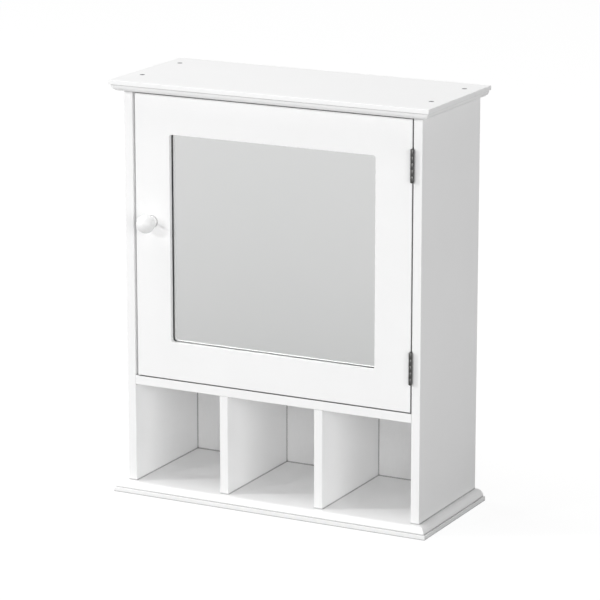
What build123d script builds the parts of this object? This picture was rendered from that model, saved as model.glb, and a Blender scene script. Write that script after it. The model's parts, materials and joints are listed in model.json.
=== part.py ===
from build123d import *
import os

os.makedirs("parts", exist_ok=True)

# Wall cabinet with one mirrored door over three open pigeonholes.
# X runs to the right, Y towards the wall and Z up, in millimetres. The origin is on the
# underside of the bottom board, at the centre of its footprint.

# Overall size of the cabinet
total_width = 460.0
total_height = 560.0
total_depth = 190.0

# Boards
panel = 12.0          # sides, shelves, dividers, hanging rail and door
cap = 15.0            # moulded top and bottom boards
overhang = 15.0       # of the moulded boards past the front and the sides
cap_fillet = 6.0      # height of the square band of the moulding
cap_step = 2.5        # how far the quarter round starts inside the band
softening = 0.6       # rounding of painted edges
back_board = 3.0      # grooved-in back panel
groove_depth = 6.0
groove_from_wall = 4.0
groove_play = 0.1          # each side of the back panel
groove_spare = 0.5         # round the back panel's edges

# Compartments
pigeonhole_height = 134.0
inner_shelf_depth = 145.0
inner_shelf_play = 1.0     # at each end of the loose shelf
rail_height = 60.0

# Door
door_width = 400.0
hinge_gap = 2.0
door_gap_top = 2.0
door_gap_bottom = 1.5
frame_member = 51.0        # visible width of the frame round the mirror
reveal = 6.0               # depth from the door's face to the glass
glass = 3.0
mirror_lap = 8.0           # the glass behind the frame, on each side
backing_lap = 18.0         # the backing board behind the frame, on each side
opening_radius = 4.0
rebate_radius = 3.0
pane_play = 0.5
backing_screw_spacing = 120.0

# Hinges
hinge_length = 42.0
hinge_inset = 38.0         # from the door's ends
hinge_forward = 2.6        # pin in front of the door's face
barrel_radius = 2.2
pin_radius = 1.0
pin_play = 0.08            # running clearance of the turning knuckles
seat_play = 0.02
pin_head = 1.8
pin_dome = 1.0
leaf = 0.8
leaf_width = 11.0
leaf_corner = 1.5
knuckles = 5
knuckle_gap = 0.3
leaf_screw_spacing = 26.0
leaf_screw_depth = 5.6     # centre line of the leaf screws behind the face

# Knob
knob_x_in_stile = 24.0     # from the door's latch edge
knob_above_middle = 21.0
knob_radius = 12.5
knob_centre = 17.0         # ball centre in front of the door
knob_neck = 5.5
knob_foot = 7.5
knob_foot_height = 2.5
knob_foot_ease = 0.8

# Magnetic catch, on the latch side panel
catch_height = 430.0       # its middle above the cabinet's underside
catch_width = 20.0
catch_depth = 15.0
catch_body = 30.0
catch_ears = 46.0
catch_ear_thickness = 3.0
catch_wall = 2.0
catch_corner = 1.0
catch_gap = 0.4            # between the poles and the strike plate
strike = 1.2
strike_width = 11.0
strike_length = 38.0
strike_corner = 2.5
strike_screw_spacing = 30.0
pole_plate = 1.2
pole_proud = 0.8
magnet_shy = 0.5           # the magnet behind the case's mouth
magnet_width = 6.8
magnet_length = 22.0

# Fasteners: radii of thread, core and head, length, height of the head and pitch of the thread
cap_screw = {"thread": 2.0, "core": 1.4, "length": 40.0, "head": 3.5, "sink": 2.3, "pitch": 1.8}
leaf_screw = {"thread": 1.3, "core": 0.95, "length": 10.0, "head": 2.4, "sink": 1.5, "pitch": 1.2}
small_screw = {"thread": 1.4, "core": 1.0, "length": 8.5, "head": 2.8, "sink": 1.6, "pitch": 1.2}
knob_screw = {"thread": 2.0, "core": 1.7, "length": 22.0, "head": 4.0, "sink": 2.4, "pitch": 0.7}
play = 0.05                # round screws, dowels, pins and the magnet, in their holes
hole_spare = 0.5           # blind holes are deeper than what they hold
cap_screw_places = (38.0, 138.0)      # behind the front, two to each upright board
dowel_radius = 3.0
dowel_length = 24.0
dowel_in_panel = 8.0
dowel_chamfer = 1.0
dowel_places = (40.0, 132.0)          # behind the front
pin_hole_places = (40.0, 140.0)       # behind the front
pin_hole_depth = 8.0
pin_chamfer = 0.5
shelf_pin_radius = 2.5
shelf_pin_length = 16.0
wall_screw_spacing = 300.0
wall_hole_radius = 2.75
wall_sink_radius = 5.5
wall_sink_depth = 3.0

# Places worked out from the sizes above
front = -total_depth / 2 + overhang
wall = total_depth / 2
side_out = total_width / 2 - overhang
side_in = side_out - panel
floor_z = cap
shelf_z = floor_z + pigeonhole_height
cupboard_z = shelf_z + panel
ceiling_z = total_height - cap
back_face = wall - groove_from_wall - back_board
pigeonhole_width = (2 * side_in - 2 * panel) / 3
divider_x = pigeonhole_width / 2 + panel / 2

door_right = side_in - hinge_gap
door_left = door_right - door_width
door_bottom = cupboard_z + door_gap_bottom
door_top = ceiling_z - door_gap_top
door_back = front + panel
door_mid_x = (door_left + door_right) / 2
door_mid_z = (door_bottom + door_top) / 2
opening_width = door_width - 2 * frame_member
opening_height = door_top - door_bottom - 2 * frame_member

hinge_x = side_in - hinge_gap / 2
hinge_y = front - hinge_forward
hinge_z = {
    "upper": door_top - hinge_inset - hinge_length / 2,
    "lower": door_bottom + hinge_inset + hinge_length / 2,
}
leaf_screw_y = front + leaf_screw_depth

knob_x = door_left + knob_x_in_stile
knob_z = door_mid_z + knob_above_middle

inner_shelf_z = (cupboard_z + ceiling_z) / 2
shelf_pin_z = inner_shelf_z - shelf_pin_radius
shelf_pin_y = [front + place for place in pin_hole_places]
inner_shelf_front = back_face - inner_shelf_depth

cap_screw_y = [front + place for place in cap_screw_places]
dowel_y = [front + place for place in dowel_places]
rail_front = back_face - panel
rail_z = ceiling_z - rail_height
rail_dowel_z = (rail_z + 15.0, ceiling_z - 15.0)
rail_dowel_y = rail_front + panel / 2
wall_hole_z = rail_z + rail_height / 2

catch_front = door_back + strike + catch_gap + pole_proud
catch_x = -side_in + catch_width / 2
catch_rear = catch_front + catch_depth
magnet_rear = catch_rear - catch_wall
backing_screw_offset = (mirror_lap + backing_lap) / 2     # outside the opening's edge

FORWARD = (0, -1, 0)
BACKWARD = (0, 1, 0)
RIGHT = (1, 0, 0)
LEFT = (-1, 0, 0)
UP = (0, 0, 1)
DOWN = (0, 0, -1)


def block(x0, x1, y0, y1, z0, z1):
    """A rectangular board between two opposite corners."""
    centre = ((x0 + x1) / 2, (y0 + y1) / 2, (z0 + z1) / 2)
    return Pos(*centre) * Box(x1 - x0, y1 - y0, z1 - z0)


def rod(start, direction, radius, length):
    """A round rod, or a drill for a hole, from a point along a direction."""
    bottom = (Align.CENTER, Align.CENTER, Align.MIN)
    return Plane(origin=start, z_dir=direction).location * Cylinder(radius, length, align=bottom)


def turned(points):
    """A solid turned about Z from its half outline of (radius, height) points."""
    outline = Polyline(*[(radius, 0, height) for radius, height in points], close=True)
    return revolve(make_face(outline), Axis.Z)


def placed(shape, point, direction):
    """A shape modelled along Z, set at a point with its top facing a direction."""
    return Plane(origin=point, z_dir=direction).location * shape


def front_edges(board):
    """The edges round a board's front face."""
    return board.faces().sort_by(Axis.Y)[0].edges()


def cross_recess(spec, top):
    """The cutter for a cross recess in a screw head whose top is at a height."""
    size = spec["head"]
    depth = spec["sink"] * 0.7
    bars = [Box(size * 1.1, size * 0.24, 2 * depth), Box(size * 0.24, size * 1.1, 2 * depth)]
    return Pos(0, 0, top) * (bars[0] + bars[1])


def thread_outline(spec, start, tip):
    """Outline points of a ringed thread down to the screw's end, with a tip of some length."""
    points = []
    height = -start
    while height > spec["pitch"] + tip - spec["length"]:
        points.append((spec["core"], height))
        points.append((spec["thread"], height - spec["pitch"] / 2))
        height -= spec["pitch"]
    points.append((spec["core"], height))
    return points


def countersunk_screw(spec):
    """A wood screw whose flat head lies at z = 0, with its point downwards."""
    outline = [(0, 0), (spec["head"], 0), (spec["thread"], -spec["sink"])]
    outline += thread_outline(spec, spec["sink"] + 1.0, 2 * spec["thread"])
    outline.append((0, -spec["length"]))
    return turned(outline) - cross_recess(spec, 0)


def pan_head(spec):
    """Outline points of a low domed head that stands on z = 0."""
    head = spec["head"]
    rise = spec["sink"]
    return [(0, rise), (head * 0.55, rise), (head * 0.9, rise * 0.6), (head, 0), (spec["thread"], 0)]


def pan_screw(spec):
    """A wood screw with a low domed head and its point downwards."""
    outline = pan_head(spec) + thread_outline(spec, 1.0, 2 * spec["thread"])
    outline.append((0, -spec["length"]))
    return turned(outline) - cross_recess(spec, spec["sink"])


def machine_screw(spec):
    """A metal-thread screw with a low domed head and a flat end."""
    outline = pan_head(spec) + thread_outline(spec, 1.0, 0)
    outline.append((0, outline[-1][1]))
    return turned(outline) - cross_recess(spec, spec["sink"])


def screw_hole(spec, point, direction, sunk=True):
    """The hole that a screw fills, with the seat of its countersunk head."""
    hole = rod((0, 0, 0), DOWN, spec["thread"] + play, spec["length"] + play)
    if sunk:
        seat = Cone(spec["thread"] + play, spec["head"] + play, spec["sink"])
        hole = hole + Pos(0, 0, -spec["sink"] / 2) * seat
    return placed(hole, point, direction)


def dowel_hole(point, direction, depth):
    """A blind hole for one end of a dowel, a little deeper than its share."""
    return rod(point, direction, dowel_radius + play, depth + hole_spare)


def moulded_section(length):
    """Cross-section of a bottom board moulded at both ends: square band, step and quarter round."""
    end = length / 2
    brow = end - cap_step
    crown = brow - (cap - cap_fillet)
    edge = Polyline((0, 0), (end, 0), (end, cap_fillet), (brow, cap_fillet))
    edge += TangentArc((brow, cap_fillet), (crown, cap), tangent=(0, 1))
    edge += Line((crown, cap), (0, cap))
    section = make_face(edge + mirror(edge, about=Plane.YZ))
    corners = section.vertices().group_by(Axis.X)
    return fillet(corners[0] + corners[-1], softening)


def moulded_board():
    """The bottom board: moulded on its front and both sides, and cut square at the wall."""
    across = extrude(Plane.XZ * moulded_section(total_width), total_depth / 2, both=True)
    # The section from front to back is twice as long as the board, so its rear moulding lies
    # behind the wall, where the other section doesn't reach.
    along = extrude(Plane.YZ * moulded_section(2 * total_depth), total_width / 2, both=True)
    return across & Pos(0, total_depth / 2, 0) * along


def back_groove():
    """The groove that holds the back panel, as a frame-shaped cutter."""
    low = floor_z - groove_depth
    high = ceiling_z + groove_depth
    reach = side_in + groove_depth
    return block(-reach, reach, back_face - groove_play, back_face + back_board + groove_play, low, high)


def bottom_board():
    """Moulded base board, drilled for the screws into the sides and the dividers."""
    board = moulded_board() - back_groove()
    for x in (-side_out + panel / 2, side_out - panel / 2, -divider_x, divider_x):
        for y in cap_screw_y:
            board -= screw_hole(cap_screw, (x, y, 0), DOWN)
    return board


def top_board():
    """The same moulded board turned over, drilled for the screws into the sides."""
    board = Pos(0, 0, total_height) * mirror(moulded_board(), about=Plane.XY) - back_groove()
    for x in (-side_out + panel / 2, side_out - panel / 2):
        for y in cap_screw_y:
            board -= screw_hole(cap_screw, (x, y, total_height), UP)
    return board


def side_panel(sign):
    """A side panel: sign -1 is the latch side on the left, +1 the hinge side on the right."""
    inner = sign * side_in
    outer = sign * side_out
    board = block(min(inner, outer), max(inner, outer), front, wall, floor_z, ceiling_z)
    board = fillet(front_edges(board).filter_by(Axis.Z), softening)
    board -= back_groove()
    inwards = (-sign, 0, 0)
    outwards = (sign, 0, 0)
    middle = sign * (side_in + panel / 2)
    for y in cap_screw_y:
        board -= screw_hole(cap_screw, (middle, y, 0), DOWN)
        board -= screw_hole(cap_screw, (middle, y, total_height), UP)
    for y in dowel_y:
        board -= dowel_hole((inner, y, shelf_z + panel / 2), outwards, dowel_in_panel)
    for z in rail_dowel_z:
        board -= dowel_hole((inner, rail_dowel_y, z), outwards, dowel_in_panel)
    for y in shelf_pin_y:
        place = (inner, y, shelf_pin_z)
        board -= rod(place, outwards, shelf_pin_radius + play, pin_hole_depth + hole_spare)
    if sign > 0:
        for place in leaf_screw_places("body"):
            board -= screw_hole(leaf_screw, place, inwards)
    else:
        for place in catch_screw_places():
            board -= screw_hole(small_screw, place, inwards, sunk=False)
    return board


def fixed_shelf():
    """The shelf between the cupboard and the pigeonholes."""
    board = block(-side_in, side_in, front, back_face, shelf_z, cupboard_z)
    board = fillet(front_edges(board).filter_by(Axis.X), softening)
    for y in dowel_y:
        for sign in (-1, 1):
            place = (sign * side_in, y, shelf_z + panel / 2)
            board -= dowel_hole(place, (-sign, 0, 0), dowel_length - dowel_in_panel)
            board -= dowel_hole((sign * divider_x, y, shelf_z), UP, dowel_in_panel)
    return board


def divider(sign):
    """An upright board between two pigeonholes."""
    x = sign * divider_x
    board = block(x - panel / 2, x + panel / 2, front, back_face, floor_z, shelf_z)
    board = fillet(front_edges(board).filter_by(Axis.Z), softening)
    for y in cap_screw_y:
        board -= screw_hole(cap_screw, (x, y, 0), DOWN)
    for y in dowel_y:
        board -= dowel_hole((x, y, shelf_z), DOWN, dowel_length - dowel_in_panel)
    return board


def back_panel():
    """Thin board in the groove of the sides and of both moulded boards, drilled for the wall screws."""
    reach = side_in + groove_depth - groove_spare
    low = floor_z - groove_depth + groove_spare
    high = ceiling_z + groove_depth - groove_spare
    board = block(-reach, reach, back_face, back_face + back_board, low, high)
    for place in wall_hole_places():
        board -= rod(place, BACKWARD, wall_hole_radius, total_depth)
    return board


def wall_hole_places():
    """Points on the front of the hanging rail where the wall screws go in."""
    return [(sign * wall_screw_spacing / 2, rail_front, wall_hole_z) for sign in (-1, 1)]


def hanging_rail():
    """The board under the top board that carries the cabinet on two wall screws."""
    board = block(-side_in, side_in, rail_front, back_face, rail_z, ceiling_z)
    low_edges = board.edges().filter_by(Axis.X).group_by(Axis.Z)[0]
    board = fillet(low_edges.sort_by(Axis.Y)[0], softening)
    sink = Cone(wall_sink_radius, wall_hole_radius, wall_sink_depth)
    for place in wall_hole_places():
        board -= rod(place, BACKWARD, wall_hole_radius, panel)
        board -= Plane(origin=place, z_dir=BACKWARD).location * Pos(0, 0, wall_sink_depth / 2) * sink
    for sign in (-1, 1):
        for z in rail_dowel_z:
            place = (sign * side_in, rail_dowel_y, z)
            board -= dowel_hole(place, (-sign, 0, 0), dowel_length - dowel_in_panel)
    return board


def inner_shelf():
    """The loose shelf inside the cupboard, resting on four pins."""
    reach = side_in - inner_shelf_play
    board = block(-reach, reach, inner_shelf_front, back_face - 1.0, inner_shelf_z, inner_shelf_z + panel)
    return fillet(front_edges(board).filter_by(Axis.X), softening)


def chamfered_peg(radius, length, chamfer_size):
    """A round peg standing on z = 0, with both ends chamfered."""
    inner = radius - chamfer_size
    outline = [(0, 0), (inner, 0), (radius, chamfer_size), (radius, length - chamfer_size)]
    outline += [(inner, length), (0, length)]
    return turned(outline)


def shelf_pins():
    """Four plug-in pins under the inner shelf."""
    pin = chamfered_peg(shelf_pin_radius, shelf_pin_length, pin_chamfer)
    reach = side_in + pin_hole_depth
    return [placed(pin, (s * reach, y, shelf_pin_z), (-s, 0, 0)) for s in (-1, 1) for y in shelf_pin_y]


def dowel(point, direction):
    """A plain wooden dowel that starts at a point."""
    return placed(chamfered_peg(dowel_radius, dowel_length, dowel_chamfer), point, direction)


def shelf_dowels():
    """Dowels between the fixed shelf's ends and the side panels."""
    z = shelf_z + panel / 2
    reach = side_in + dowel_in_panel
    return [dowel((sign * reach, y, z), (-sign, 0, 0)) for sign in (-1, 1) for y in dowel_y]


def rail_dowels():
    """Dowels between the hanging rail's ends and the side panels."""
    reach = side_in + dowel_in_panel
    return [dowel((sign * reach, rail_dowel_y, z), (-sign, 0, 0)) for sign in (-1, 1) for z in rail_dowel_z]


def divider_dowels():
    """Dowels between the dividers' upper ends and the fixed shelf."""
    z = shelf_z + dowel_in_panel
    return [dowel((sign * divider_x, y, z), DOWN) for sign in (-1, 1) for y in dowel_y]


def cap_screws(columns, z, direction):
    """Countersunk screws through a moulded board, in rows front to back."""
    screw = countersunk_screw(cap_screw)
    return [placed(screw, (x, y, z), direction) for x in columns for y in cap_screw_y]


def window(lap, radius, depth_from, depth_to):
    """A sheet or a cutter with the shape of the door's opening, wider by a lap on each side."""
    outline = RectangleRounded(opening_width + 2 * lap, opening_height + 2 * lap, radius)
    plane = Plane(origin=(door_mid_x, front + depth_from, door_mid_z), x_dir=RIGHT, z_dir=BACKWARD)
    return extrude(plane.location * outline, depth_to - depth_from)


def door_frame():
    """One routed board: the opening, the rebate for the glass and the wider one for its backing."""
    board = block(door_left, door_right, front, door_back, door_bottom, door_top)
    board = fillet(front_edges(board), softening)
    board -= window(0, opening_radius, 0, panel)
    board -= window(mirror_lap, rebate_radius, reveal, panel)
    board -= window(backing_lap, rebate_radius, reveal + glass, panel)
    mouth = board.faces().sort_by(Axis.Y)[0].inner_wires()[0]
    board = fillet(mouth.edges(), softening)
    board -= rod((knob_x, front, knob_z), BACKWARD, knob_screw["thread"] + play, panel)
    for place in leaf_screw_places("door"):
        board -= screw_hole(leaf_screw, place, RIGHT)
    for place in backing_screw_places():
        board -= screw_hole(small_screw, place, BACKWARD, sunk=False)
    for place in strike_screw_places():
        board -= screw_hole(small_screw, place, BACKWARD)
    return board


def mirror_glass():
    """The mirror pane, a little smaller than its rebate."""
    return window(mirror_lap - pane_play, rebate_radius, reveal, reveal + glass)


def mirror_backing():
    """The board behind the pane, flush with the door's back, drilled for its screws."""
    board = window(backing_lap - pane_play, rebate_radius, reveal + glass, panel)
    for place in backing_screw_places():
        board -= screw_hole(small_screw, place, BACKWARD, sunk=False)
    return board


def backing_screw_places():
    """Points on the door's back round the mirror, where the backing board laps the frame."""
    across = opening_width / 2 + backing_screw_offset
    up = opening_height / 2 + backing_screw_offset
    ring = [(x, s * up) for s in (-1, 1) for x in (-backing_screw_spacing, 0, backing_screw_spacing)]
    ring += [(s * across, z) for s in (-1, 1) for z in (-backing_screw_spacing / 2, backing_screw_spacing / 2)]
    return [(door_mid_x + x, door_back, door_mid_z + z) for x, z in ring]


def backing_screws():
    """Pan-head screws that hold the backing board."""
    screw = pan_screw(small_screw)
    return [placed(screw, place, BACKWARD) for place in backing_screw_places()]


def knob():
    """Ball knob turned in one piece with its neck and foot, drilled for its screw."""
    bottom = (Align.CENTER, Align.CENTER, Align.MIN)
    ball = Pos(0, 0, knob_centre) * Sphere(knob_radius)
    neck = Cylinder(knob_neck, knob_centre, align=bottom)
    foot = Cylinder(knob_foot, knob_foot_height, align=bottom)
    foot = fillet(foot.edges().sort_by(Axis.Z)[-1], knob_foot_ease)
    depth = knob_screw["length"] - panel + hole_spare
    hole = rod((0, 0, 0), UP, knob_screw["thread"] + play, depth)
    return placed(ball + neck + foot - hole, (knob_x, front, knob_z), FORWARD)


def knob_fixing():
    """The machine screw from inside the door into the knob."""
    return placed(machine_screw(knob_screw), (knob_x, door_back, knob_z), BACKWARD)


def leaf_screw_places(side):
    """Centres of the screw heads on one side of the hinges, on the leaves' free faces."""
    sign = 1 if side == "body" else -1
    x = hinge_x + sign * (hinge_gap / 2 - leaf)
    offset = leaf_screw_spacing / 2
    return [(x, leaf_screw_y, height + s * offset) for height in hinge_z.values() for s in (-1, 1)]


def leaf_screws(side):
    """All the leaf screws on one side of the hinges."""
    direction = LEFT if side == "body" else RIGHT
    screw = countersunk_screw(leaf_screw)
    return [placed(screw, place, direction) for place in leaf_screw_places(side)]


def hinge_leaf(side, height):
    """A leaf with its share of the knuckles: the first, third and fifth are the body's."""
    sign = 1 if side == "body" else -1
    knuckles_here = range(0, knuckles, 2) if side == "body" else range(1, knuckles, 2)
    bore = pin_radius + (seat_play if side == "body" else pin_play)
    face, free_face = sorted((hinge_x + sign * hinge_gap / 2, hinge_x + sign * (hinge_gap / 2 - leaf)))
    base = height - hinge_length / 2
    pitch = hinge_length / knuckles
    plate = block(face, free_face, front, front + leaf_width, base, base + hinge_length)
    rear_edges = plate.faces().sort_by(Axis.Y)[-1].edges()
    shape = fillet(rear_edges.filter_by(Axis.X), leaf_corner)
    for index in knuckles_here:
        low = base + index * pitch + knuckle_gap / 2
        high = low + pitch - knuckle_gap
        # A strap joins the knuckle to the plate, which stays clear of the other leaf's knuckles.
        shape += block(face, free_face, hinge_y, front + leaf, low, high)
        shape += rod((hinge_x, hinge_y, low), UP, barrel_radius, high - low)
        shape -= rod((hinge_x, hinge_y, low), UP, bore, high - low)
    for place in leaf_screw_places(side):
        shape -= screw_hole(leaf_screw, place, (-sign, 0, 0))
    return shape


def hinge_pin(height):
    """The hinge pin, with a low domed head at each end of the barrel."""
    half = hinge_length / 2
    neck = [(pin_radius, half), (pin_head, half), (pin_head * 0.8, half + pin_dome * 0.7), (0, half + pin_dome)]
    pin = turned([(0, 0)] + [(pin_radius, 0)] + neck)
    return Pos(hinge_x, hinge_y, height) * (pin + mirror(pin, about=Plane.XY))


def catch_screw_places():
    """Points on the catch's ears where its screws go in."""
    x = -side_in + catch_ear_thickness
    y = catch_front + catch_depth / 2
    offset = (catch_body + catch_ears) / 4
    return [(x, y, catch_height - offset), (x, y, catch_height + offset)]


def catch_block(x0, x1, y0, y1, length):
    """A block of the catch, with a length up and down about the catch's middle."""
    return block(x0, x1, y0, y1, catch_height - length / 2, catch_height + length / 2)


def catch_housing():
    """The catch's moulded case: a block with a pocket for the magnet and an ear at each end."""
    foot = -side_in
    case = catch_block(foot, foot + catch_width, catch_front, catch_rear, catch_body)
    case = fillet(case.edges().filter_by(Axis.Y).group_by(Axis.X)[-1], catch_corner)
    ears = catch_block(foot, foot + catch_ear_thickness, catch_front, catch_rear, catch_ears)
    case += fillet(ears.edges().filter_by(Axis.X), catch_corner)
    reach = magnet_width / 2 + pole_plate + play
    case -= catch_block(catch_x - reach, catch_x + reach, catch_front, magnet_rear, magnet_length + 2 * play)
    for place in catch_screw_places():
        case -= screw_hole(small_screw, place, RIGHT, sunk=False)
    return case


def catch_magnet():
    """The block magnet between the pole plates, a little behind their edges."""
    half = magnet_width / 2
    return catch_block(catch_x - half, catch_x + half, catch_front + magnet_shy, magnet_rear, magnet_length)


def catch_pole_plates():
    """Two steel plates beside the magnet, proud of the case."""
    plates = []
    for x in (catch_x - magnet_width / 2 - pole_plate, catch_x + magnet_width / 2):
        plates.append(catch_block(x, x + pole_plate, catch_front - pole_proud, magnet_rear, magnet_length))
    return plates


def catch_screws():
    """Pan-head screws through the catch's ears."""
    return [placed(pan_screw(small_screw), place, RIGHT) for place in catch_screw_places()]


def strike_screw_places():
    """Points on the strike plate's face where its screws go in."""
    offset = strike_screw_spacing / 2
    return [(catch_x, door_back + strike, catch_height + s * offset) for s in (-1, 1)]


def strike_plate():
    """The steel plate on the door's back that the catch holds."""
    half = strike_width / 2
    plate = catch_block(catch_x - half, catch_x + half, door_back, door_back + strike, strike_length)
    plate = fillet(plate.edges().filter_by(Axis.Y), strike_corner)
    for place in strike_screw_places():
        plate -= screw_hole(small_screw, place, BACKWARD)
    return plate


def strike_screws():
    """Countersunk screws that hold the strike plate."""
    screw = countersunk_screw(small_screw)
    return [placed(screw, place, BACKWARD) for place in strike_screw_places()]


side_columns = (-side_out + panel / 2, side_out - panel / 2)
divider_columns = (-divider_x, divider_x)

nodes = {
    "top_board": top_board(),
    "bottom_board": bottom_board(),
    "left_side_panel": side_panel(-1),
    "right_side_panel": side_panel(1),
    "fixed_shelf": fixed_shelf(),
    "left_divider": divider(-1),
    "right_divider": divider(1),
    "back_panel": back_panel(),
    "hanging_rail": hanging_rail(),
    "inner_shelf": inner_shelf(),
    "shelf_pins": shelf_pins(),
    "shelf_dowels": shelf_dowels(),
    "rail_dowels": rail_dowels(),
    "divider_dowels": divider_dowels(),
    "top_board_screws": cap_screws(side_columns, total_height, UP),
    "bottom_board_screws": cap_screws(side_columns, 0, DOWN),
    "divider_screws": cap_screws(divider_columns, 0, DOWN),
    "door_frame": door_frame(),
    "mirror_glass": mirror_glass(),
    "mirror_backing": mirror_backing(),
    "backing_screws": backing_screws(),
    "knob": knob(),
    "knob_screw": knob_fixing(),
    "hinge_body_screws": leaf_screws("body"),
    "hinge_door_screws": leaf_screws("door"),
    "catch_housing": catch_housing(),
    "catch_magnet": catch_magnet(),
    "catch_pole_plates": catch_pole_plates(),
    "catch_screws": catch_screws(),
    "strike_plate": strike_plate(),
    "strike_screws": strike_screws(),
}
for name, height in hinge_z.items():
    nodes[name + "_hinge_body_leaf"] = hinge_leaf("body", height)
    nodes[name + "_hinge_door_leaf"] = hinge_leaf("door", height)
    nodes[name + "_hinge_pin"] = hinge_pin(height)

for name, shape in nodes.items():
    if isinstance(shape, list):
        shape = Compound(children=shape)
    export_step(shape, "parts/" + name + ".step")
    box = shape.bounding_box()
    print(name, [round(v, 1) for v in (*box.min, *box.max)])
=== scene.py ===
# %% [markdown]
# A bathroom mirror cabinet: fibreboard panels in white satin lacquer, a mirrored door on two butt
# hinges, a turned knob, and three open pigeonholes under the door. The construction comes from the
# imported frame, piece by piece and at its real size. This file gives each piece its finish, models
# again the few pieces whose charm lies in softer detail, and sets up the light and the camera.
# All lengths are metres: +X is to the right, +Y is towards the wall and +Z is up.

# %% Load the frame
import bpy
import json
import math
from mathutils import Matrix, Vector


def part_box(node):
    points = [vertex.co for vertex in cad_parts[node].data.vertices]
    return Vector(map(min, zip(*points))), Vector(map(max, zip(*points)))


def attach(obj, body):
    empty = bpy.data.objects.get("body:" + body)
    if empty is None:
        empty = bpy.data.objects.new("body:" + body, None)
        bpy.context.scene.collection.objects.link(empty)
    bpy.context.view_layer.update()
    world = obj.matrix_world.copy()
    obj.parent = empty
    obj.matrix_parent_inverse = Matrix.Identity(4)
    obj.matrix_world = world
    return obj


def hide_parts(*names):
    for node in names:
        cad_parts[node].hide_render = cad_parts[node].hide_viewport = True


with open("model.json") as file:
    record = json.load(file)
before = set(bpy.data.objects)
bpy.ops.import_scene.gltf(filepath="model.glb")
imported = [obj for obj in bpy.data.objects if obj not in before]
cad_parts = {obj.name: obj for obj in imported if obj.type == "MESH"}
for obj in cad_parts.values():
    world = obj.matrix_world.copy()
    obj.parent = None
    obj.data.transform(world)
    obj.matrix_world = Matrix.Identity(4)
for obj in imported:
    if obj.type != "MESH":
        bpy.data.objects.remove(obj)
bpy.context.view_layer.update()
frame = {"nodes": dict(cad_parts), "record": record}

MM = 0.001
nodes = frame["nodes"]

# %% [markdown]
# The picture is a product shot from the right and a little above, with a long lens from about
# four metres away, so that the upright edges run almost parallel. The camera's place and angle come
# from the straight edges of the cabinet: at this angle the top board shows as a narrow strip, and
# the right side panel is about a fifth of the picture's width.

# %% Camera
CAMERA_AZIMUTH = math.radians(27.305)      # to the right of straight in front
CAMERA_ELEVATION = math.radians(14.131)
CAMERA_PLACE = (1.86404, -3.60692, 1.29203)
LENS_MM = 190.85
WHITE_BOX_BOUNCES = 12             # light goes round many times inside a white pigeonhole

back = Vector((math.sin(CAMERA_AZIMUTH) * math.cos(CAMERA_ELEVATION),
               -math.cos(CAMERA_AZIMUTH) * math.cos(CAMERA_ELEVATION),
               math.sin(CAMERA_ELEVATION)))
camera_data = bpy.data.cameras.new("camera")
camera_data.sensor_width = 36.0
camera_data.lens = LENS_MM
camera = bpy.data.objects.new("camera", camera_data)
camera.location = CAMERA_PLACE
camera.rotation_euler = (-back).to_track_quat("-Z", "Y").to_euler()
bpy.context.scene.collection.objects.link(camera)
bpy.context.scene.camera = camera
bpy.context.scene.view_settings.view_transform = "Standard"
bpy.context.scene.cycles.diffuse_bounces = WHITE_BOX_BOUNCES
print("camera", CAMERA_PLACE, "lens", LENS_MM)

# %% [markdown]
# A material is a small network of nodes. A few helpers keep the networks short to read: they add a
# node and set its values by name, join two nodes, or lay down a pattern. Every pattern is
# read in Object coordinates, which are the real metres of the piece, so a grain of half a
# millimetre is written as half a millimetre.

# %% Material helpers
def add(material, kind, **values):
    """A new node in the material. A value is an input's name or a property of the node."""
    node = material.node_tree.nodes.new("ShaderNode" + kind)
    for name, value in values.items():
        label = name.replace("_", " ")
        if label in node.inputs:
            node.inputs[label].default_value = value
        else:
            setattr(node, name, value)
    return node


def wire(material, output, target):
    material.node_tree.links.new(output, target)


def start(name, **values):
    """A new material with a Principled shader that has these values. Returns the material and the shader."""
    material = bpy.data.materials.new(name)
    material.use_nodes = True
    shader = material.node_tree.nodes["Principled BSDF"]
    for label, value in values.items():
        shader.inputs[label.replace("_", " ")].default_value = value
    return material, shader


def place_of(material, scale=(1, 1, 1)):
    """Object coordinates, stretched by scale."""
    coordinates = add(material, "TexCoord")
    mapping = add(material, "Mapping", Scale=scale)
    wire(material, coordinates.outputs["Object"], mapping.inputs["Vector"])
    return mapping.outputs["Vector"]


def noise(material, size, scale=(1, 1, 1), detail=2.0):
    """Cloudy pattern with features about size metres long. Returns its grey output."""
    pattern = add(material, "TexNoise", Scale=1.0 / size, Detail=detail)
    wire(material, place_of(material, scale), pattern.inputs["Vector"])
    return pattern.outputs["Fac"]


def between(material, factor, low, high, start_at=0.35, end_at=0.65):
    """A value that goes from low to high as the factor goes from start_at to end_at."""
    ramp = add(material, "MapRange")
    for label, value in (("From Min", start_at), ("From Max", end_at), ("To Min", low), ("To Max", high)):
        ramp.inputs[label].default_value = value
    wire(material, factor, ramp.inputs["Value"])
    return ramp.outputs["Result"]


def feed(material, value, target):
    """Sets an input to a fixed value, or joins it to an output."""
    if isinstance(value, bpy.types.NodeSocket):
        wire(material, value, target)
    else:
        target.default_value = value


def blend(material, factor, first, second):
    """A colour between two colours or colour outputs."""
    mix = add(material, "MixRGB")
    feed(material, factor, mix.inputs["Fac"])
    feed(material, first, mix.inputs["Color1"])
    feed(material, second, mix.inputs["Color2"])
    return mix.outputs["Color"]


def combine(material, operation, first, second, **settings):
    """One sum of two values or outputs, such as MULTIPLY or MAXIMUM."""
    node = add(material, "Math", operation=operation, **settings)
    feed(material, first, node.inputs[0])
    feed(material, second, node.inputs[1])
    return node.outputs["Value"]


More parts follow.
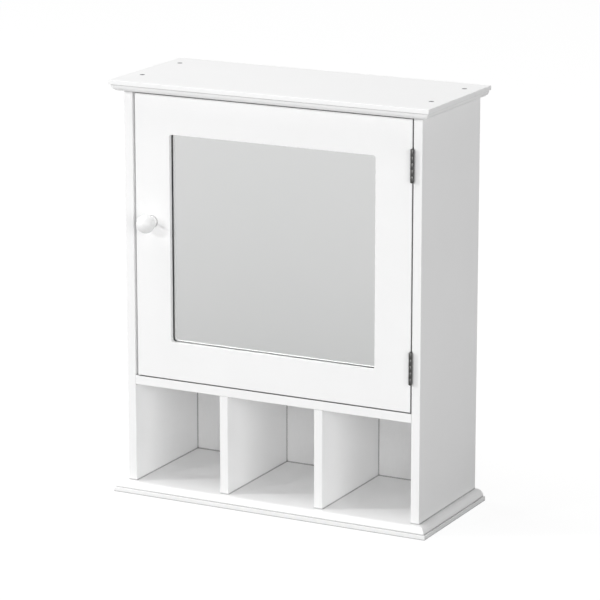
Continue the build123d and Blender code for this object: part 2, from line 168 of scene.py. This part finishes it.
def relief(material, shader, heights):
    """Bumps in layers: each of heights is an output and how many metres deep it is."""
    previous = None
    for height, depth in heights:
        bump = add(material, "Bump", Strength=1.0, Distance=depth)
        wire(material, height, bump.inputs["Height"])
        if previous is not None:
            wire(material, previous, bump.inputs["Normal"])
        previous = bump.outputs["Normal"]
    wire(material, previous, shader.inputs["Normal"])


def grey(value):
    return (value, value, value, 1.0)


print("helpers ready")

# %% [markdown]
# The boards are sprayed with a satin lacquer. Close up, sprayed lacquer is never quite flat: it has
# a fine orange peel of bumps one or two millimetres wide and a few thousandths of a millimetre
# deep, over a slow wave of the sanded board below. Both are bumps here, because neither changes an
# outline. The colour drifts by about one percent, as a coat does that is a little thicker in one
# place than in the next, and the sheen drifts with it. Where two boards meet, the lacquer doesn't
# bridge the joint, and the dark line there is partly the joint's own and partly painted shade: an
# occlusion node darkens the colour wherever a point is closed in within a few millimetres, in every inner
# corner too.

# %% White satin lacquer
LACQUER = 0.90
# Painted shade in joints and inner corners: how far the occlusion looks, how dark it paints, and the shares
# of open view between which it fades.
JOINT_SHADE_REACH = 0.0026
JOINT_SHADE_TONE = 0.38                  # of the lacquer's own, at the bottom of a joint
JOINT_SHADE_CLOSED = 0.5                 # share of open view at which the joint is fully dark
JOINT_SHADE_OPEN = 0.9                   # share at which it ends


def painted_joint_shade(material):
    """A factor that is 1 in the open and falls to the joint tone in joints and inner corners: painted shade,
    found by an occlusion node.
    """
    closed_in = add(material, "AmbientOcclusion", Distance=JOINT_SHADE_REACH, samples=8)
    return between(material, closed_in.outputs["AO"], JOINT_SHADE_TONE, 1.0, JOINT_SHADE_CLOSED, JOINT_SHADE_OPEN)


def darken(material, colour, factor):
    """The colour times a factor."""
    mix = add(material, "MixRGB", blend_type="MULTIPLY", Fac=1.0)
    wire(material, colour, mix.inputs["Color1"])
    wire(material, factor, mix.inputs["Color2"])
    return mix.outputs["Color"]


def lacquer(name, sheen_roughness, peel_depth):
    material, shader = start(name, IOR=1.5)
    coat = noise(material, 0.12, detail=3.0)
    grain = noise(material, 0.0016, detail=2.0)
    colour = blend(material, between(material, coat, 0, 1), grey(LACQUER - 0.008), grey(LACQUER + 0.006))
    # The base colour carries painted shade in joints and inner corners.
    wire(material, darken(material, colour, painted_joint_shade(material)), shader.inputs["Base Color"])
    wire(material, between(material, coat, sheen_roughness - 0.03, sheen_roughness + 0.04),
         shader.inputs["Roughness"])
    relief(material, shader, [(noise(material, 0.018, detail=1.0), 0.00003), (grain, peel_depth)])
    return material


white_lacquer = lacquer("white_satin_lacquer", 0.38, 0.000008)
knob_lacquer = lacquer("knob_semi_gloss", 0.24, 0.000005)
print("lacquers", white_lacquer.name, knob_lacquer.name)

# %% [markdown]
# The back panel and the board behind the mirror are 3 mm hardboard. One side is white from the mill,
# a thin printed coat with the faint fleck of the fibres under it. The other side is left brown, with
# the woven mark of the screen that it was pressed on. The shader picks the side by the surface's own
# direction, so that one solid board carries both faces, and the sawn edges are brown too.

# %% Hardboard
BROWN_DARK = (0.17, 0.095, 0.05, 1.0)
BROWN_LIGHT = (0.30, 0.18, 0.10, 1.0)
SCREEN_PITCH = 0.0022


def hardboard(name, white_side):
    """White where the surface faces along white_side times Y, brown elsewhere."""
    material, shader = start(name, IOR=1.5, Roughness=0.6)
    fibres = noise(material, 0.0035, scale=(1, 1, 0.35), detail=4.0)
    brown = blend(material, between(material, fibres, 0, 1, 0.3, 0.7), BROWN_DARK, BROWN_LIGHT)
    fleck = between(material, fibres, 0, 1, 0.3, 0.7)
    white = blend(material, fleck, grey(LACQUER - 0.03), grey(LACQUER - 0.01))

    coordinates = add(material, "TexCoord")
    direction = add(material, "SeparateXYZ")
    wire(material, coordinates.outputs["Normal"], direction.inputs["Vector"])
    side = combine(material, "MULTIPLY", direction.outputs["Y"], white_side)
    is_white = between(material, side, 0, 1, 0.45, 0.55)
    colour = blend(material, is_white, brown, white)
    # The base colour carries painted shade in joints and inner corners.
    wire(material, darken(material, colour, painted_joint_shade(material)), shader.inputs["Base Color"])
    wire(material, between(material, is_white, 0.75, 0.42, 0, 1), shader.inputs["Roughness"])

    lines = []
    for axis in ("X", "Z"):
        wave = add(material, "TexWave", wave_type="BANDS", bands_direction=axis)
        wave.inputs["Scale"].default_value = math.pi / 10 / SCREEN_PITCH
        wire(material, place_of(material), wave.inputs["Vector"])
        lines.append(wave.outputs["Fac"])
    woven = combine(material, "MULTIPLY", lines[0], lines[1])
    brown_only = combine(material, "MULTIPLY", woven, between(material, is_white, 1, 0, 0, 1))
    relief(material, shader, [(brown_only, 0.00012), (fibres, 0.00001)])
    return material


back_hardboard = hardboard("hardboard_white_forward", -1)
backing_hardboard = hardboard("hardboard_white_rearward", 1)
print("hardboard", back_hardboard.name, backing_hardboard.name)

# %% [markdown]
# Three metals, two plain finishes and beech make up the fittings. The hinges are a dark satin nickel,
# as grey as their barrels are in the picture: rolled strip that has been brushed along its length, so
# their roughness is drawn out in fine lines along Z. The
# screws and the shelf pins are bright zinc, slightly cloudy, and the four screws in the top board
# are a darker, duller zinc, whose dark is painted shade for the shade in and round their sunk heads. The
# catch's magnet is fired ferrite, a dark and grainy ceramic, and its case is moulded plastic with a fine
# spark-eroded texture.

# %% Metals, plastic, ferrite and beech
def metal(name, tone, roughness, stretch, grain_size, depth):
    material, shader = start(name, Metallic=1.0)
    lines = noise(material, grain_size, scale=stretch, detail=3.0)
    cloud = noise(material, 0.006, detail=2.0)
    dark = tuple(v * 0.93 for v in tone) + (1.0,)
    colour = blend(material, between(material, cloud, 0, 1), dark, tone + (1.0,))
    wire(material, colour, shader.inputs["Base Color"])
    wire(material, between(material, lines, roughness - 0.06, roughness + 0.08), shader.inputs["Roughness"])
    relief(material, shader, [(lines, depth)])
    return material


satin_nickel = metal("satin_nickel", (0.12, 0.119, 0.117), 0.30, (1, 1, 0.05), 0.0003, 0.000004)
bright_zinc = metal("bright_zinc", (0.64, 0.65, 0.66), 0.30, (1, 1, 1), 0.0012, 0.000004)
# A darker zinc for the top board's screws: painted shade for the shade in and round their sunk heads.
dark_zinc_painted_shade = metal("dark_zinc_painted_shade", (0.16, 0.16, 0.165), 0.42, (1, 1, 1), 0.0008, 0.000006)

catch_plastic, plastic_shader = start("moulded_plastic", Roughness=0.5, IOR=1.46)
spark = noise(catch_plastic, 0.0004)
wire(catch_plastic, blend(catch_plastic, between(catch_plastic, spark, 0, 1), grey(0.80), grey(0.84)),
     plastic_shader.inputs["Base Color"])
relief(catch_plastic, plastic_shader, [(spark, 0.000015)])

ferrite, ferrite_shader = start("fired_ferrite", Roughness=0.55)
grains = noise(ferrite, 0.0006, detail=4.0)
wire(ferrite, blend(ferrite, between(ferrite, grains, 0, 1), grey(0.035), grey(0.07)),
     ferrite_shader.inputs["Base Color"])
relief(ferrite, ferrite_shader, [(grains, 0.00003)])

beech, beech_shader = start("plain_beech", Roughness=0.6)
growth = noise(beech, 0.002, scale=(1, 0.12, 0.12), detail=4.0)
wire(beech, blend(beech, between(beech, growth, 0, 1), (0.50, 0.31, 0.17, 1), (0.66, 0.45, 0.27, 1)),
     beech_shader.inputs["Base Color"])
relief(beech, beech_shader, [(growth, 0.00004)])
print("fittings", satin_nickel.name, bright_zinc.name, catch_plastic.name, ferrite.name, beech.name)

# %% [markdown]
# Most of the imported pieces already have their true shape, so they stay, and each takes the finish of
# its record slot. Hinges and screws share a slot per metal.

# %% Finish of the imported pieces
finish_of_slot = {
    "white_lacquer": white_lacquer,
    "knob_lacquer": knob_lacquer,
    "hardboard": back_hardboard,
    "mirror": bright_zinc,
    "hinge_steel": satin_nickel,
    "plated_steel": bright_zinc,
    "beech": beech,
    "catch_plastic": catch_plastic,
    "magnet": ferrite,
}


def dress(obj, *materials):
    """Gives the piece these materials in place of what it had."""
    obj.data.materials.clear()
    for material in materials:
        obj.data.materials.append(material)


for subpart in frame["record"]["subparts"]:
    dress(nodes[subpart["node"]], finish_of_slot[subpart["material_slot"]])
dress(nodes["mirror_backing"], backing_hardboard)
# The top board's screws take the darker zinc, which is painted shade.
dress(nodes["top_board_screws"], dark_zinc_painted_shade)

# %% [markdown]
# A few helpers for modelling by hand. Operators act on everything that is selected, so each piece
# starts with nothing else selected. Faces and edges are picked by where they are or which way they
# face, as a hand with a mouse would pick them. The last helper closes a piece: it puts the object
# at the origin, with its place in its mesh, shades it smooth where the surface is smooth and hangs
# it on the body that it moves with.

# %% Modelling helpers
def only(obj):
    bpy.ops.object.select_all(action="DESELECT")
    obj.select_set(True)
    bpy.context.view_layer.objects.active = obj


def edit(obj, mode="FACE"):
    only(obj)
    bpy.ops.object.mode_set(mode="EDIT")
    bpy.ops.mesh.select_mode(type=mode)
    bpy.ops.mesh.select_all(action="DESELECT")
    bpy.ops.object.mode_set(mode="OBJECT")


def pick(obj, kind, wanted):
    """Selects the vertices, edges or polygons for which wanted(element) is true, and enters edit mode."""
    edit(obj, {"vertices": "VERT", "edges": "EDGE", "polygons": "FACE"}[kind])
    count = 0
    for element in getattr(obj.data, kind):
        element.select = wanted(element)
        count += element.select
    bpy.ops.object.mode_set(mode="EDIT")
    return count


def done_editing():
    bpy.ops.object.mode_set(mode="OBJECT")


def close_piece(obj, name, body, replaced, smooth_degrees=35):
    """Names, smooths and hangs a finished piece."""
    only(obj)
    bpy.ops.object.transform_apply(location=True, rotation=True, scale=True)
    bpy.ops.object.shade_smooth_by_angle(angle=math.radians(smooth_degrees))
    obj.name = name
    obj.data.name = name
    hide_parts(*replaced)
    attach(obj, body)
    print(name, "triangles", sum(len(p.vertices) - 2 for p in obj.data.polygons))


print("modelling helpers ready")

# %% [markdown]
# The knob is turned from wood: a ball on a short waisted neck with a small foot, sprayed with a
# slightly glossier coat than the boards. On a lathe the shape is one outline swept round an axis,
# and spin does the same: a circle could be stacked ring by ring, but an outline drawn once and spun
# keeps the ball truly round. The outline is drawn by extruding one point along it.

# %% Turned knob
KNOB_STEPS = 64                       # round the axis
BALL_ARC_STEPS = 20
FOOT_RADIUS = 7.5 * MM
FOOT_HEIGHT = 2.5 * MM
FOOT_EASE = 0.8 * MM
NECK_RADIUS = 5.0 * MM
knob_low, knob_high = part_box("knob")
knob_face = knob_high.y
ball_radius = (knob_high.x - knob_low.x) / 2
knob_axis = Vector(((knob_low.x + knob_high.x) / 2, knob_face, (knob_low.z + knob_high.z) / 2))
ball_height = knob_high.y - knob_low.y - ball_radius
print("ball radius", round(ball_radius, 4), "centre", round(ball_height, 4), "in front of the door")


def arc(centre, radius, first_degrees, last_degrees, steps):
    """Points (radius from the axis, height) on an arc."""
    points = []
    for step in range(steps + 1):
        angle = math.radians(first_degrees + (last_degrees - first_degrees) * step / steps)
        points.append((centre[0] + radius * math.cos(angle), centre[1] + radius * math.sin(angle)))
    return points


cove_radius = 2.2 * MM
cove_radial = NECK_RADIUS + cove_radius
cove_height = ball_height - math.sqrt((ball_radius + cove_radius) ** 2 - cove_radial ** 2)
touch = math.degrees(math.atan2(cove_height - ball_height, cove_radial))
outline = [(0.0, 0.0), (FOOT_RADIUS, 0.0)]
outline += arc((FOOT_RADIUS - FOOT_EASE, FOOT_HEIGHT - FOOT_EASE), FOOT_EASE, 0, 90, 4)
outline += arc((cove_radial, cove_height), cove_radius, 180 + 40, 180 + touch, 7)
outline += arc((0.0, ball_height), ball_radius, touch, 90, BALL_ARC_STEPS)[1:]
outline[-1] = (0.0, ball_height + ball_radius)

bpy.ops.object.select_all(action="DESELECT")
bpy.ops.mesh.primitive_plane_add(size=MM, location=(0, 0, 0))
knob = bpy.context.object
bpy.ops.object.mode_set(mode="EDIT")
bpy.ops.mesh.merge(type="CENTER")
bpy.ops.transform.translate(value=knob_axis)
for before, after in zip(outline, outline[1:]):
    step = Vector((after[0] - before[0], before[1] - after[1], 0.0))
    bpy.ops.mesh.extrude_region_move(TRANSFORM_OT_translate={"value": step})
bpy.ops.mesh.select_all(action="SELECT")
bpy.ops.mesh.spin(steps=KNOB_STEPS, angle=2 * math.pi, center=knob_axis, axis=(0, 1, 0))
bpy.ops.mesh.select_all(action="SELECT")
bpy.ops.mesh.remove_doubles(threshold=0.01 * MM)
bpy.ops.mesh.normals_make_consistent(inside=False)
done_editing()
dress(knob, knob_lacquer)
close_piece(knob, "turned_knob", "door", ["knob"])

# %% [markdown]
# The mirror is float glass with its silver on the rear face. Looking in from the side, the sight
# line crosses 3 mm of glass twice, so a thin dark line shows at the near edge, where it ends
# in the unlit gap behind the frame. A polished metal sheet would lose that line. So the pane is a
# real slab: clear glass in front, ground edges, and a silvered rear face. A cube is
# flattened into the pane, and its rim is ground with a bevel.

# %% Mirror pane
GROUND_EDGE = 0.4 * MM
pane_low, pane_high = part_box("mirror_glass")
bpy.ops.object.select_all(action="DESELECT")
bpy.ops.mesh.primitive_cube_add(size=1.0, location=(pane_low + pane_high) / 2)
pane = bpy.context.object
pane.scale = pane_high - pane_low
only(pane)
bpy.ops.object.transform_apply(location=True, rotation=True, scale=True)
rim = pick(pane, "edges", lambda edge: True)
bpy.ops.mesh.bevel(offset=GROUND_EDGE, segments=1)
done_editing()
print("ground edges", rim)

clear_glass, glass_shader = start("clear_glass", Roughness=0.0, IOR=1.52, Transmission_Weight=1.0)
haze = noise(clear_glass, 0.15)
glass_tint = blend(clear_glass, between(clear_glass, haze, 0, 1),
                   (0.975, 0.985, 0.98, 1), (0.985, 0.99, 0.987, 1))
wire(clear_glass, glass_tint, glass_shader.inputs["Base Color"])
silver, silver_shader = start("silvering", Metallic=1.0, Roughness=0.0)
deposit = noise(silver, 0.2)
wire(silver, blend(silver, between(silver, deposit, 0, 1), grey(0.885), grey(0.895)),
     silver_shader.inputs["Base Color"])
ground_glass, ground_shader = start("ground_glass", Roughness=0.45, IOR=1.52)
grit = noise(ground_glass, 0.0005)
ground_tint = blend(ground_glass, between(ground_glass, grit, 0, 1),
                    (0.30, 0.38, 0.35, 1), (0.42, 0.50, 0.47, 1))
wire(ground_glass, ground_tint, ground_shader.inputs["Base Color"])
relief(ground_glass, ground_shader, [(grit, 0.00002)])

dress(pane, clear_glass, silver, ground_glass)
for polygon in pane.data.polygons:
    polygon.material_index = 0 if polygon.normal.y < -0.9 else 1 if polygon.normal.y > 0.9 else 2
close_piece(pane, "mirror_pane", "door", ["mirror_glass"], smooth_degrees=10)

# %% [markdown]
# Each hinge is two stamped leaves whose knuckles are rolled round a pin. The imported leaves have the
# true shape, with their knuckles, gaps and countersunk holes, but their edges are razor sharp, and
# strip that has been stamped, rolled and tumbled has none. So each leaf and pin is copied, its loose
# triangles are merged and flattened into whole faces, and every sharp edge is rounded a little.
# The rounding is what makes the joints between the knuckles read as dark notches.

# %% Hinges
LEAF_ROUNDING = 0.15 * MM
PIN_ROUNDING = 0.1 * MM
MERGE_WITHIN = 0.002 * MM
FLAT_WITHIN = math.radians(1.0)
SHARP_FROM = math.radians(40)


def eased(node, name, body, width):
    """A copy of a packed hinge piece with its sharp edges rounded."""
    bpy.ops.object.select_all(action="DESELECT")
    source = nodes[node]
    piece = bpy.data.objects.new(name, source.data.copy())
    bpy.context.scene.collection.objects.link(piece)
    only(piece)
    bpy.ops.object.mode_set(mode="EDIT")
    bpy.ops.mesh.select_all(action="SELECT")
    bpy.ops.mesh.remove_doubles(threshold=MERGE_WITHIN)
    bpy.ops.mesh.dissolve_limited(angle_limit=FLAT_WITHIN)
    done_editing()
    rounding = piece.modifiers.new("rounding", "BEVEL")
    rounding.width = width
    rounding.segments = 2
    rounding.limit_method = "ANGLE"
    rounding.angle_limit = SHARP_FROM
    bpy.ops.object.modifier_apply(modifier="rounding")
    dress(piece, satin_nickel)
    close_piece(piece, name, body, [node])


for level in ("upper", "lower"):
    eased(level + "_hinge_body_leaf", level + "_body_leaf", "cabinet", LEAF_ROUNDING)
    eased(level + "_hinge_door_leaf", level + "_door_leaf", "door", LEAF_ROUNDING)
    eased(level + "_hinge_pin", level + "_pin", "cabinet", PIN_ROUNDING)

# %% [markdown]
# The cabinet stands on white paper in a white room. The paper is brighter in the picture than the
# cabinet, so for the camera it shines by itself, mixed with a share of its real shading, which keeps
# the cabinet's soft shadow. The light that it throws back up is held to that of a mid grey, so that
# the undersides of the mouldings keep their shade. What the mirror shows is the same paper, further
# out in front of the cabinet, with a painted pool of light: for glossy rays its glow is painted darker
# towards the foot of the cabinet. The painted fall follows the distance on the floor, so it stays put
# whatever the view.

# %% Floor
PAPER = 0.50                       # what it throws back, and what it shows by itself
PAPER_GLOW = 1.22
SHADE_SHARE = 0.25                 # of the paper's own shading in what the camera sees
FLOOR_SIZE = 30.0
# The painted pool of light that only the mirror shows: its tone far out, and how much darker it is painted
# near the cabinet.
PAINTED_POOL_FAR = 0.885                   # reflected tone far out, and how it falls near the cabinet
PAINTED_POOL_FALL = 0.16

bpy.ops.object.select_all(action="DESELECT")
bpy.ops.mesh.primitive_plane_add(size=FLOOR_SIZE, location=(0, 0, 0))
floor = bpy.context.object
floor.name = "paper_floor"

paper = bpy.data.materials.new("white_paper")
paper.use_nodes = True
paper.node_tree.nodes.clear()
rays = add(paper, "LightPath")
glossy = rays.outputs["Is Glossy Ray"]
seen = combine(paper, "MAXIMUM", rays.outputs["Is Camera Ray"], rays.outputs["Is Transmission Ray"])
share = combine(paper, "MULTIPLY", combine(paper, "MAXIMUM", seen, glossy), 1.0 - SHADE_SHARE)

distance = add(paper, "VectorMath", operation="LENGTH")
wire(paper, place_of(paper), distance.inputs["Vector"])
# Painted pool of light: the glow for glossy rays is painted darker nearer the cabinet's foot.
fall = combine(paper, "DIVIDE", PAINTED_POOL_FALL, distance.outputs["Value"])
painted_pool = combine(paper, "SUBTRACT", PAINTED_POOL_FAR, fall, use_clamp=True)
tone = blend(paper, glossy, grey(PAPER_GLOW), painted_pool)

shading = add(paper, "BsdfDiffuse")
wire(paper, blend(paper, noise(paper, 0.01), grey(PAPER), grey(PAPER + 0.02)), shading.inputs["Color"])
glow = add(paper, "Emission")
wire(paper, tone, glow.inputs["Color"])
mixed = add(paper, "MixShader")
wire(paper, share, mixed.inputs[0])
wire(paper, shading.outputs["BSDF"], mixed.inputs[1])
wire(paper, glow.outputs["Emission"], mixed.inputs[2])
surface = add(paper, "OutputMaterial")
wire(paper, mixed.outputs["Shader"], surface.inputs["Surface"])
dress(floor, paper)
print("floor", FLOOR_SIZE, "m wide")

# %% [markdown]
# The light is that of a plain studio. A small, hard key lamp far to the left lights the front at a
# slant: it throws the shadows of the hinges, and of the divider edges on the pigeonhole floors, to the
# right. The knob's shadow in the picture comes from a second lamp nearer the front, and the key's
# own shadow of it doesn't show, so the knob is left out of what blocks the key. Two broad fills
# from the right open up the right side panel and the insides of the pigeonholes, and an overhead
# lamp lights the top. All stand seven metres off, so the light hardly falls from side to side.

# %% Lamps and room
ROOM = 0.20
LAMP_DISTANCE = 7.0
CABINET_MIDDLE = Vector((0.0, 0.0, 0.28))


def lamp(name, direction, size, level):
    """A square lamp that looks at the cabinet's middle. A level of 1 shows a colour as it is written."""
    data = bpy.data.lights.new(name, "AREA")
    data.shape = "SQUARE"
    data.size = size
    data.energy = level * math.pi ** 2 * LAMP_DISTANCE ** 2
    obj = bpy.data.objects.new(name, data)
    towards = Vector(direction).normalized()
    obj.location = CABINET_MIDDLE + towards * LAMP_DISTANCE
    obj.rotation_euler = (-towards).to_track_quat("-Z", "Y").to_euler()
    bpy.context.scene.collection.objects.link(obj)
    print(name, "at", [round(v, 2) for v in obj.location], "power", round(data.energy, 1))
    return obj


left_key = lamp("left_key", (-1.75, -1.0, 0.68), 0.35, 0.375)
lamp("front_key", (-0.56, -1.0, 0.43), 0.7, 0.18)
lamp("front_fill", (0.58, -1.0, 0.25), 3.5, 0.23)
lamp("right_fill", (1.73, -1.0, 0.3), 3.5, 0.315)
lamp("overhead_lamp", (-0.35, -0.06, 1.0), 3.5, 0.54)

let_through = bpy.data.collections.new("let_through_by_left_key")
let_through.objects.link(knob)
left_key.light_linking.blocker_collection = let_through
let_through.collection_objects[0].light_linking.link_state = "EXCLUDE"

world = bpy.data.worlds.new("white_room")
world.use_nodes = True
bpy.context.scene.world = world
background = world.node_tree.nodes["Background"]
room_rays = add(world, "LightPath")
seen = combine(world, "MAXIMUM", room_rays.outputs["Is Camera Ray"], room_rays.outputs["Is Glossy Ray"])
seen = combine(world, "MAXIMUM", seen, room_rays.outputs["Is Transmission Ray"])
wire(world, between(world, seen, ROOM, 1.0, 0, 1), background.inputs["Strength"])
background.inputs["Color"].default_value = grey(1.0)
print("room level", ROOM)
